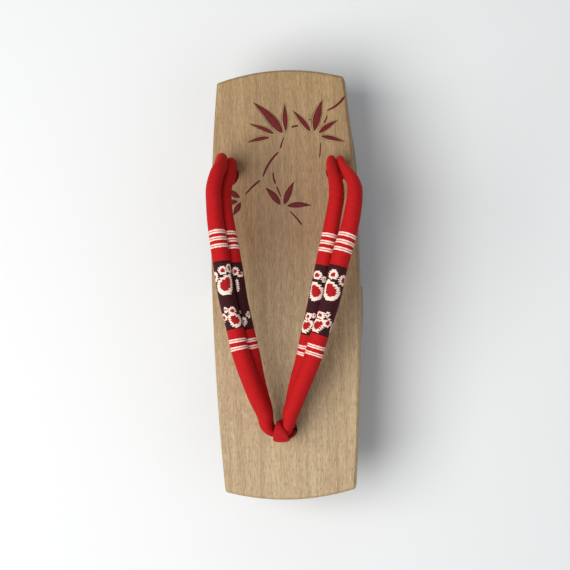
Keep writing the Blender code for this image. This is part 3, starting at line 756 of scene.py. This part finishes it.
def carve_spray(sole, finishes):
    """Cuts the leaves, each with a bevel round it, and the grooves of the twigs."""
    t = np.linspace(TIP, 1.0 - TIP, 30)
    for i, (base_x, base_y, tip_x, tip_y, width, belly, bend, rim_share) in enumerate(LEAVES):
        rim = rim_share * RIM
        base, tip = (base_x * MM, base_y * MM), (tip_x * MM, tip_y * MM)
        inner = (*bent_line(base, tip, bend * MM, t), leaf_half_width(t, width * MM, belly))
        outer = (
            *bent_line(base, tip, bend * MM, t, extend=RIM_PAST_TIP * rim),
            leaf_half_width(t, width * MM + 2.0 * rim, belly),
        )
        cut(sole, carving_tool(f"leaf {i}", (inner, outer), LEAF_ROWS, finishes))
    t = np.linspace(0.0, 1.0, 20)
    for i, (start_x, start_y, end_x, end_y, start_width, end_width, bend) in enumerate(TWIGS):
        points, normals = bent_line((start_x * MM, start_y * MM), (end_x * MM, end_y * MM), bend * MM, t)
        half = (start_width + (end_width - start_width) * t) * MM / 2.0
        blunt = TWIG_END + (1.0 - TWIG_END) * (1.0 - (2.0 * t - 1.0) ** TWIG_BLUNT)
        cut(sole, carving_tool(f"twig {i}", ((points, normals, half * blunt),), TWIG_ROWS, finishes))


BEVELLED_FROM = math.radians(50.0)  # edges that turn by more are softened
SHARP_FROM = math.radians(28.0)  # edges that turn by more are shaded sharp


def make_sole():
    wood = paulownia("waxed paulownia", "8a7150", "a68d69", "beaa87")
    # paler cut wood, partly painted light on the bevel; dark scored wood, partly painted shade in the groove
    # round each leaf
    fresh_cut_and_lit = paulownia("freshly cut paulownia with painted light", "a79370", "c2b08c", "dccba8")
    scored_and_shaded = paulownia("scored paulownia", "594826", "77623a", "8f7a4c")
    sole = upright_block(wood)
    face_out(sole)
    profile = side_profile()
    ends = [np.column_stack([np.full(len(profile), x), profile]) for x in (-WIDTH, WIDTH)]
    points, faces = stack(ends)
    cut(sole, make_piece("side profile", points, faces, [wood]), "INTERSECT")
    soften = sole.modifiers.new("worn edges", "BEVEL")
    soften.width = WORN_EDGE
    soften.segments = 2
    soften.limit_method = "ANGLE"
    soften.angle_limit = BEVELLED_FROM
    settle(sole)
    cut(sole, bar("front hole", FRONT_HOLE_RADIUS, (0.0, FRONT_HOLE_Y, HEIGHT), 0.0, wood))
    for side in (-1.0, 1.0):
        mouth = (side * REAR_HOLE_SPACING / 2.0, REAR_HOLE_Y, HEIGHT)
        cut(sole, bar("rear hole", REAR_HOLE_RADIUS, mouth, REAR_HOLE_SLANT, wood))
    carve_spray(sole, [fresh_cut_and_lit, scored_and_shaded, maroon_lacquer()])
    sole.data.shade_smooth()
    sole.data.set_sharp_from_angle(angle=SHARP_FROM)
    even = sole.modifiers.new("even faces", "WEIGHTED_NORMAL")
    even.keep_sharp = True
    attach(sole, "root")
    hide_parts("wooden_sole")


# Tubes of cloth

def smooth_rows(rows, count):
    """Rows read evenly along a smooth curve: cubics between the rows, their slopes from the neighbours."""
    rows = np.asarray(rows, dtype=float)
    steps = np.linalg.norm(np.diff(rows[:, :3], axis=0), axis=1)
    at = np.concatenate([[0.0], np.cumsum(steps)])
    low = np.maximum(np.arange(len(rows)) - 1, 0)
    high = np.minimum(np.arange(len(rows)) + 1, len(rows) - 1)
    slopes = (rows[high] - rows[low]) / (at[high] - at[low])[:, None]
    places = np.linspace(0.0, at[-1], count)
    k = np.clip(np.searchsorted(at, places) - 1, 0, len(rows) - 2)
    span = (at[k + 1] - at[k])[:, None]
    t = (places[:, None] - at[k][:, None]) / span
    return (
        rows[k] * (2.0 * t**3 - 3.0 * t**2 + 1.0)
        + slopes[k] * span * (t**3 - 2.0 * t**2 + t)
        + rows[k + 1] * (3.0 * t**2 - 2.0 * t**3)
        + slopes[k + 1] * span * (t**3 - t**2)
    )


def unit(vectors):
    return vectors / np.linalg.norm(vectors, axis=-1, keepdims=True)


def smooth_step(low, high, values):
    t = np.clip((values - low) / (high - low), 0.0, 1.0)
    return t * t * (3.0 - 2.0 * t)


def in_the_hole(side, place):
    """Rows of a tube's end in its rear hole, lowest first. place is 1 for the outer tube, -1 the inner."""
    depth = np.array([1.0, 0.5, 0.0]) * STRAP_END_DEPTH
    x = side * (REAR_HOLE_SPACING / 2.0 + place * (END_WIDTH / 2.0 - GAP))
    return np.column_stack(
        [
            np.full(3, x),
            REAR_HOLE_Y - depth * math.tan(REAR_HOLE_SLANT),
            HEIGHT - depth,
            np.full(3, END_WIDTH),
            np.full(3, END_TALL),
        ]
    )


def on_the_board(side, table, diameter):
    """Rows above the board, from a table of shares."""
    back, out, rise, wide, tall = np.array(table).T
    return np.column_stack(
        [
            side * out * STRAP_SPREAD,
            FRONT_HOLE_Y + back * (REAR_HOLE_Y - FRONT_HOLE_Y),
            HEIGHT + rise * STRAP_RISE,
            wide * diameter,
            tall * diameter,
        ]
    )


def strap_rows(outer_side, inner_side, place, diameter, fold_height, fold_tall):
    """A whole tube: left rear hole, left side, fold, right side, right rear hole."""
    left = np.concatenate([in_the_hole(-1.0, place), on_the_board(-1.0, outer_side, diameter)])
    right = np.concatenate([in_the_hole(1.0, place), on_the_board(1.0, inner_side, diameter)])
    fold = [
        (across - FOLD_LEAN, FRONT_HOLE_Y, HEIGHT + fold_height, FOLD_WIDTH, fold_tall)
        for across in (-OUTER_REACH, 0.0, INNER_REACH)
    ]
    return np.concatenate([left, fold, right[::-1]])


def write_cloth(piece, run, around):
    """Stores the UV map cloth in metres: across is the way round the tube, up is the way along it."""
    layer = piece.data.uv_layers.new(name="cloth")
    rows, columns = len(run), len(around) - 1
    i, j = np.meshgrid(np.arange(rows - 1), np.arange(columns), indexing="ij")
    across = np.stack([around[j], around[j + 1], around[j + 1], around[j]], -1)
    along = np.stack([run[i], run[i], run[i + 1], run[i + 1]], -1)
    corners = np.stack([across, along], -1).reshape(-1, 2)
    values = np.zeros((len(piece.data.loops), 2))
    values[: len(corners)] = corners
    layer.data.foreach_set("uv", values.astype(np.float32).ravel())


STRAP_STATIONS = 1900
STRAP_SIDES = 50
STRAIGHT_FROM, STRAIGHT_TO = 60.0 * MM, 110.0 * MM
SEAM_DEPTH = 0.45 * MM
SEAM_TURN = 0.14  # half the seam's width, in radians round the tube


def strap_tube(name, rows, diameter, material):
    """A padded tube: at each station side * sin + above * cos of the turn, where side is the outside of the V
    and above the upper side, and a shallow seam runs along its underside."""
    stations = smooth_rows(rows, STRAP_STATIONS)
    centre, wide, tall = stations[:, :3], stations[:, 3], stations[:, 4]
    along = unit(np.gradient(centre, axis=0))
    run = np.concatenate([[0.0], np.cumsum(np.linalg.norm(np.diff(centre, axis=0), axis=1))])
    fold = np.argmin(np.linalg.norm(centre[:, :2] - np.array([-FOLD_LEAN, FRONT_HOLE_Y]), axis=1))
    run -= run[fold]

    # Level beside the fold; towards the holes, where the tube turns down, it stays across the board.
    level = unit(np.cross(along, np.array([0.0, 0.0, 1.0])))
    steady = smooth_step(STRAIGHT_FROM, STRAIGHT_TO, np.abs(run))[:, None]
    aside = np.sign(run)[:, None] * np.array([1.0, 0.0, 0.0])
    side = level * (1.0 - steady) + aside * steady
    side = unit(side - along * np.sum(side * along, axis=1, keepdims=True))
    above = np.cross(side, along)

    turn = np.linspace(-math.pi, math.pi, STRAP_SIDES + 1)
    phi = turn[None, :-1]
    swell = slow_swell(run[:, None], phi)
    seam = -SEAM_DEPTH * np.exp(-(((math.pi - np.abs(phi)) / SEAM_TURN) ** 2))
    outward = side[:, None] * np.sin(phi)[..., None] + above[:, None] * np.cos(phi)[..., None]
    points = (
        centre[:, None]
        + side[:, None] * (wide[:, None] / 2.0 * np.sin(phi))[..., None]
        + above[:, None] * (tall[:, None] / 2.0 * np.cos(phi))[..., None]
        + outward * (swell + seam)[..., None]
    )
    mesh_points, faces = stack(points)
    piece = make_piece(name, mesh_points, faces, [material])
    write_cloth(piece, run, turn * diameter / 2.0)
    face_out(piece)
    piece.data.shade_smooth()
    return piece, run, turn


# The woven stripes and figures of each side of each tube, charted. Lengths in millimetres from the
# fold along the tube. The middles of the two front stripes, the dark band's start and end, and the middles of
# the three rear stripes.
STRIPES = {
    "outer side, outer tube": (57.8, 62.0, 68.7, 106.1, 114.4, 118.2, 121.8),
    "outer side, inner tube": (56.1, 59.9, 66.0, 103.4, 111.6, 115.2, 119.0),
    "inner side, inner tube": (49.5, 53.3, 60.4, 100.1, 108.4, 112.3, 116.3),
    "inner side, outer tube": (51.7, 55.8, 62.8, 101.8, 110.6, 114.5, 118.4),
}
# Turn from the top line to the outer side in degrees, distance from the fold, half width, half length, how
# far the tip leans outwards from heelward in degrees, how much it tapers to the tip, the red core's share.
FIGURES = {
    "outer side, outer tube": (
        (62, 98.2, 2.6, 2.9, 0, 0.00, 0.34),
        (-6, 100.8, 2.5, 2.3, -20, 0.00, 0.50),
        (-58, 101.8, 2.1, 2.6, 0, 0.00, 0.48),
        (-17, 93.5, 4.3, 6.2, -37, 0.48, 0.64),
        (20, 79.9, 1.3, 1.6, 0, 0.00, 0.38),
        (-22, 78.9, 2.3, 2.2, -35, 0.00, 0.52),
        (55, 76.1, 2.1, 2.6, -90, 0.00, 0.52),
        (-24, 73.8, 3.6, 4.4, 45, 0.42, 0.62),
    ),
    "outer side, inner tube": (
        (-12, 98.6, 1.9, 2.3, 0, 0.00, 0.45),
        (-44, 97.0, 1.6, 2.4, -90, 0.00, 0.55),
        (-10, 91.0, 0.7, 3.5, 0, 0.00, 0.00),
        (10, 76.4, 0.7, 1.0, 0, 0.00, 0.00),
        (-6, 70.9, 1.3, 2.8, -10, 0.00, 0.30),
        (-52, 74.3, 1.3, 1.9, 0, 0.00, 0.40),
    ),
    "inner side, inner tube": (
        (-31, 94.3, 2.9, 2.4, 0, 0.00, 0.52),
        (24, 92.8, 1.3, 1.8, 0, 0.00, 0.35),
        (-22, 85.9, 4.2, 5.6, -35, 0.45, 0.64),
        (-33, 70.9, 2.6, 1.9, -60, 0.00, 0.52),
        (10, 72.1, 1.1, 1.6, 0, 0.00, 0.35),
        (-30, 65.7, 3.4, 4.5, 50, 0.42, 0.62),
    ),
    "inner side, outer tube": (
        (-21, 96.5, 2.6, 2.6, 40, 0.00, 0.50),
        (56, 94.6, 2.8, 3.0, -20, 0.00, 0.52),
        (-17, 88.3, 4.4, 6.0, -33, 0.45, 0.64),
        (-34, 73.2, 2.3, 2.6, -60, 0.00, 0.52),
        (8, 74.6, 1.2, 1.6, 0, 0.00, 0.35),
        (30, 70.3, 2.2, 2.3, 90, 0.00, 0.52),
        (-30, 67.7, 3.5, 4.7, 50, 0.42, 0.62),
        (88, 68.5, 1.8, 3.3, 0, 0.00, 0.00),
    ),
}
STRIPE_HALF = 0.98  # of a whole double stripe, in millimetres
STRIPE_GROOVE_HALF = 0.27  # of the pink line between its two white lines
BORDER_LINE = 0.55
WEAVE_STEP = 0.55  # one rib of the pattern weave
COMB = 0.35  # how far every other rib carries a figure's edge out, and the ribs between carry it in
WRAP_BOW = 1.2  # how far the cloth's cross threads bow towards the toe on the tube's underside
HIDDEN_FROM = math.radians(100.0)  # past this turn the figures repeat, turned half round


def yarn_on_top(side_name, run, phi, diameter):
    """The yarn at each distance run (mm from the fold) and turn phi: stripes and band by distance alone, ribs
    of dark and wine by turns in the band, and figures where (a / (W (1 - taper b / L) + comb))^2 + (b / L)^2
    < 1, with a across and b along the figure's leaning axis."""
    place = run + WRAP_BOW * (1.0 - np.cos(phi))
    yarn = np.full(place.shape, RED)
    stripes = STRIPES[side_name]
    band_start, band_end = stripes[2:4]
    for middle in stripes[:2] + stripes[4:]:
        off = np.abs(place - middle)
        yarn = np.where(off < STRIPE_HALF, CREAM, yarn)
        yarn = np.where(off < STRIPE_GROOVE_HALF, ROSE, yarn)
    in_band = (place > band_start) & (place < band_end)
    inside = (place > band_start + BORDER_LINE) & (place < band_end - BORDER_LINE)
    yarn = np.where(in_band, np.where(inside, DARK, BORDER), yarn)
    seen = np.where(np.abs(phi) > HIDDEN_FROM, phi - np.sign(phi) * math.pi, phi)
    rib = np.round(place / WEAVE_STEP)
    yarn = np.where(inside & (rib % 2.0 == 0.0), WINE, yarn)
    comb = COMB * np.where(rib % 2.0 == 0.0, 1.0, -1.0)
    for turn, distance, wide, half_length, lean, taper, core in FIGURES[side_name]:
        u = (seen - math.radians(turn)) * diameter / MM / 2.0
        w = rib * WEAVE_STEP - distance
        lean = math.radians(lean)
        a = u * math.cos(lean) - w * math.sin(lean)
        b = u * math.sin(lean) + w * math.cos(lean)
        narrowed = wide * (1.0 - taper * np.clip(b / half_length, -1.0, 1.0)) + comb
        reach = np.hypot(a / narrowed, b / half_length)
        yarn = np.where(inside & (reach < 1.0), CREAM, yarn)
        yarn = np.where(inside & (reach < core), CORE, yarn)
    return yarn


def write_yarn(piece, run, turn, diameter, tube_name):
    """Stores the face attribute yarn: the number of the yarn on top, as a share of all yarns."""
    run = (run[1:] + run[:-1])[:, None] / 2.0 / MM
    phi = (turn[1:] + turn[:-1])[None, :] / 2.0
    left = yarn_on_top("outer side, " + tube_name, -run, phi, diameter)
    right = yarn_on_top("inner side, " + tube_name, run, phi, diameter)
    yarn = np.where(run < 0.0, left, right).ravel()
    values = np.zeros(len(piece.data.polygons), dtype=np.float32)
    values[: len(yarn)] = yarn / YARN_COUNT
    piece.data.attributes.new("yarn", "FLOAT", "FACE").data.foreach_set("value", values)


def slow_swell(run, phi):
    """How the padding swells, in metres: a few long waves along and round the tube, none over 0.15 mm."""
    first = np.sin(run / (5.1 * MM) + 1.3 * np.sin(phi)) * np.cos(phi + 0.7)
    second = np.sin(run / (3.3 * MM) + 2.0 + phi) * np.sin(2.0 * phi)
    return 0.07 * MM * first + 0.05 * MM * second


def make_strap():
    cloth = woven("red ribbed cotton with woven band", None, 0.5)
    outer = strap_rows(OUTER_SIDE_OUTER_TUBE, INNER_SIDE_OUTER_TUBE, 1.0, OUTER_TUBE, FOLD_HEIGHT, FOLD_TALL)
    inner = strap_rows(
        OUTER_SIDE_INNER_TUBE, INNER_SIDE_INNER_TUBE, -1.0, INNER_TUBE, INNER_FOLD_HEIGHT, INNER_FOLD_TALL
    )
    for name, rows, diameter, tube_name in (
        ("strap_outer_tube", outer, OUTER_TUBE, "outer tube"),
        ("strap_inner_tube", inner, INNER_TUBE, "inner tube"),
    ):
        piece, run, turn = strap_tube(name, rows, diameter, cloth)
        write_yarn(piece, run, turn, diameter, tube_name)
        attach(piece, "root")
        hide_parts("strap")


# The front loop

LOOP_STATIONS = 220
LOOP_SIDES = 40
PLEAT_DEPTH = 0.10 * MM
PLEAT_RADIAN = 0.32 * MM  # a pleat's wave is 2 pi times as long
PLEAT_BOW = 0.8


def loop_rows():
    """The loop's path: up behind the strap's fold, over it and down in front."""
    half = LOOP_THICKNESS / 2.0
    clear = 2.0 * GAP + half
    depth = np.array([0.0, 0.5, 1.0]) * LOOP_DEPTH
    forward, height, over, lean, wide = np.array(LOOP_OVER_THE_FOLD).T
    above_board = np.column_stack(
        [
            -lean * FOLD_LEAN,
            FRONT_HOLE_Y - forward * (FOLD_WIDTH / 2.0 + clear),
            HEIGHT + height * FOLD_HEIGHT + over * (FOLD_TALL / 2.0 + clear),
            wide * LOOP_WIDTH,
            np.full(len(wide), LOOP_THICKNESS),
        ]
    )
    behind, ahead = [
        np.column_stack(
            [
                np.zeros(3),
                np.full(3, FRONT_HOLE_Y - side * (half + GAP)),
                HEIGHT - depth,
                LOOP_MOUTH + (LOOP_NECK - LOOP_MOUTH) * depth / LOOP_DEPTH,
                np.full(3, LOOP_THICKNESS),
            ]
        )
        for side in (-1.0, 1.0)
    ]
    return np.concatenate([behind[::-1], above_board, ahead])


def make_front_loop():
    """A flat padded tube with an oval section: half its width by the sine of the turn, half its thickness by
    the cosine, with fine pleats across it."""
    stations = smooth_rows(loop_rows(), LOOP_STATIONS)
    centre, wide, thick = stations[:, :3], stations[:, 3], stations[:, 4]
    along = unit(np.gradient(centre, axis=0))
    across = np.array([1.0, 0.0, 0.0]) - along * along[:, :1]
    side = unit(across)
    above = np.cross(side, along)
    run = np.concatenate([[0.0], np.cumsum(np.linalg.norm(np.diff(centre, axis=0), axis=1))])
    turn = np.linspace(-math.pi, math.pi, LOOP_SIDES + 1)
    phi = turn[None, :-1]
    pleats = PLEAT_DEPTH * np.sin(run[:, None] / PLEAT_RADIAN + PLEAT_BOW * np.sin(phi))
    points = (
        centre[:, None]
        + side[:, None] * (wide[:, None] / 2.0 * np.sin(phi))[..., None]
        + above[:, None] * ((thick[:, None] / 2.0 + pleats) * np.cos(phi))[..., None]
    )
    mesh_points, faces = stack(points)
    cloth = woven("red gathered cotton", "ac1418", 0.6)
    piece = make_piece("padded_front_loop", mesh_points, faces, [cloth])
    write_cloth(piece, run, turn * LOOP_WIDTH / math.pi)
    face_out(piece)
    piece.data.shade_smooth()
    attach(piece, "root")
    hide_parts("front_loop")


# The knots under the board

STRANDS = 3
CORD_LAY = 11.0 * MM
CORD_SIDES = 30
STRAND_RELIEF = 0.12  # share of the cord's radius
STRAND_ROUND = 0.6  # the lower, the rounder a strand and the sharper the groove beside it
ASKEW = (0.31, 0.17, 0.93)  # along none of the knots' cords
CROSSING_PLACES = (-0.45, 0.45)  # shares of the ring's long radius
CROSSING_LEAN, CROSSING_REACH = 0.8, 1.05  # of the cord's radius, of the ring's short radius
CROSSING_DROP, CROSSING_HUMP = 0.45, 0.9  # of the cord's radius
CROSSING_CORD, TAIL_CORD = 0.86, 0.8  # radius as a share of the cord's radius, of the cord


def twisted(path, radius, closed=False):
    """A cord of three strands along a path: its radius swells by the cosine of three halves of the turn less
    the lay."""
    path = np.asarray(path)
    if closed:
        along = unit(np.roll(path, -1, 0) - np.roll(path, 1, 0))
    else:
        along = unit(np.gradient(path, axis=0))
    side = unit(np.cross(along, np.array(ASKEW)))
    above = np.cross(side, along)
    steps = np.linalg.norm(np.diff(path, axis=0), axis=1)
    run = np.concatenate([[0.0], np.cumsum(steps)])
    whole = run[-1] + (np.linalg.norm(path[0] - path[-1]) if closed else 0.0)
    lays = max(round(whole / CORD_LAY), 1)
    phi = np.linspace(0.0, 2.0 * math.pi, CORD_SIDES, endpoint=False)[None, :]
    twist = 2.0 * math.pi * lays * run[:, None] / whole
    strand = np.abs(np.cos(STRANDS * (phi - twist) / 2.0)) ** STRAND_ROUND
    swell = radius * (1.0 - STRAND_RELIEF + STRAND_RELIEF * strand)
    ring = side[:, None] * np.cos(phi)[..., None] + above[:, None] * np.sin(phi)[..., None]
    points = path[:, None] + ring * swell[..., None]
    if not closed:
        return stack(points)
    rows = len(path)
    faces = grid_faces(rows + 1, CORD_SIDES, True) % (rows * CORD_SIDES)
    return points.reshape(-1, 3), faces.tolist()


def knot(name, x, y, lean, top, material):
    """A ring of cord flat against the underside, two turns that cross below it, and its tail up the hole."""
    if y > 0.0:
        seat, slope = HEIGHT - BOARD_THICKNESS, 0.0
    else:
        slope_end = -FRONT_TOOTH / 2.0 - FRONT_SLOPE
        rise = (TOE_THICKNESS - BOARD_THICKNESS) / (slope_end - TOE_END)
        seat = HEIGHT - TOE_THICKNESS + rise * (y - TOE_END)
        slope = math.atan(rise)
    radius = CORD / 2.0
    place = Matrix.Translation((x, y, seat)) @ Matrix.Rotation(slope, 4, "X")
    long_radius, short_radius = KNOT_LONG / 2.0 - radius, KNOT_SHORT / 2.0 - radius
    t = np.linspace(0.0, 2.0 * math.pi, 90, endpoint=False)
    ring = np.column_stack(
        [long_radius * np.cos(t), short_radius * np.sin(t), np.full(len(t), -radius - GAP)]
    )
    parts = [twisted(ring, radius, True)]
    bow = np.linspace(-1.0, 1.0, 40)
    for across in CROSSING_PLACES:
        crossing = np.column_stack(
            [
                across * long_radius + CROSSING_LEAN * radius * bow,
                short_radius * CROSSING_REACH * bow,
                -CORD - CROSSING_DROP * radius - CROSSING_HUMP * radius * (1.0 - bow**2),
            ]
        )
        parts.append(twisted(crossing, CROSSING_CORD * radius))
    height = np.linspace(-CORD, (top - seat), 30)
    tail = np.column_stack([np.zeros(30), height * math.tan(lean), height])
    parts.append(twisted(tail, TAIL_CORD * CORD))
    points, faces, start = [], [], 0
    for part_points, part_faces in parts:
        points.append(part_points)
        faces += [[index + start for index in face] for face in part_faces]
        start += len(part_points)
    piece = make_piece(name, np.concatenate(points), faces, [material])
    piece.data.transform(place)
    face_out(piece)
    piece.data.shade_smooth()
    return piece


def make_knots():
    hemp = hemp_cord()
    exit_y = REAR_HOLE_Y - BOARD_THICKNESS * math.tan(REAR_HOLE_SLANT)
    end_lift = (END_TALL / 2.0 + TAIL_CORD * CORD) * math.sin(REAR_HOLE_SLANT)
    rear_top = HEIGHT - STRAP_END_DEPTH - end_lift - GAP
    spread = REAR_HOLE_SPACING / 2.0
    for node, x, y, lean, top in (
        ("front_knot", 0.0, FRONT_HOLE_Y, 0.0, HEIGHT - LOOP_DEPTH - GAP),
        ("rear_knot_left", -spread, exit_y, REAR_HOLE_SLANT, rear_top),
        ("rear_knot_right", spread, exit_y, REAR_HOLE_SLANT, rear_top),
    ):
        piece = knot("cord_" + node, x, y, lean, top, hemp)
        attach(piece, "root")
        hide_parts(node)


make_camera()
make_lamps()
make_floor()
make_sole()
make_strap()
make_front_loop()
make_knots()
